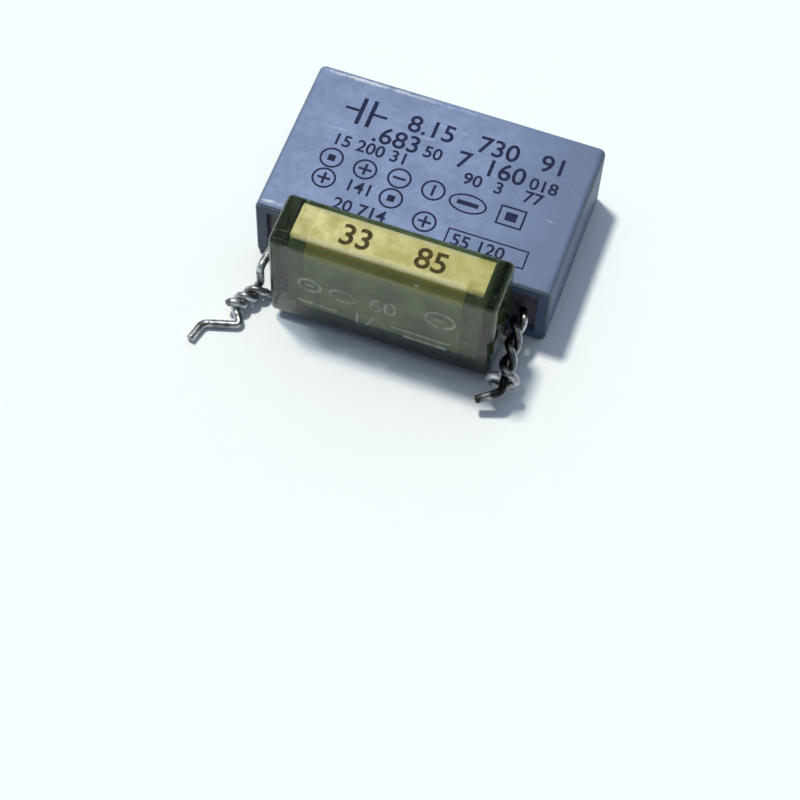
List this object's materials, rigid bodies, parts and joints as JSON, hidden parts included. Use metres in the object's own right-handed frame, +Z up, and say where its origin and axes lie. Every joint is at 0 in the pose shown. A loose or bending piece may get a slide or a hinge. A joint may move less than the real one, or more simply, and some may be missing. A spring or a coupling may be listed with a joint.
{
  "type": "joined capacitor pair",
  "caption": "Boxed film capacitor lying on its side, joined by twisted leads to a paper capacitor cast in a clear resin block, with free wire ends for soldering.",
  "frame": {"origin": "centre of the face that the plastic box lies on", "axes": "+Z up, +X along the box's length, -Y towards the lead side and the resin block"},
  "size_m": [0.0196, 0.0183, 0.008],
  "materials": {
    "box_plastic": "satin",
    "potting_resin": "satin",
    "metallised_film": "gloss",
    "sprayed_metal": "matte",
    "tinned_wire": "satin",
    "clear_resin": "gloss",
    "metallised_paper": "satin"
  },
  "bodies": {
    "root": {"box_case": "box_plastic", "box_potting": "potting_resin", "film_roll": "metallised_film", "film_roll_left_end": "sprayed_metal", "film_roll_right_end": "sprayed_metal", "box_left_lead": "tinned_wire", "box_right_lead": "tinned_wire", "block_body": "clear_resin", "paper_roll": "metallised_paper", "paper_roll_left_end": "sprayed_metal", "paper_roll_right_end": "sprayed_metal", "block_left_lead": "tinned_wire", "block_right_lead": "tinned_wire"}
  },
  "joints": []
}
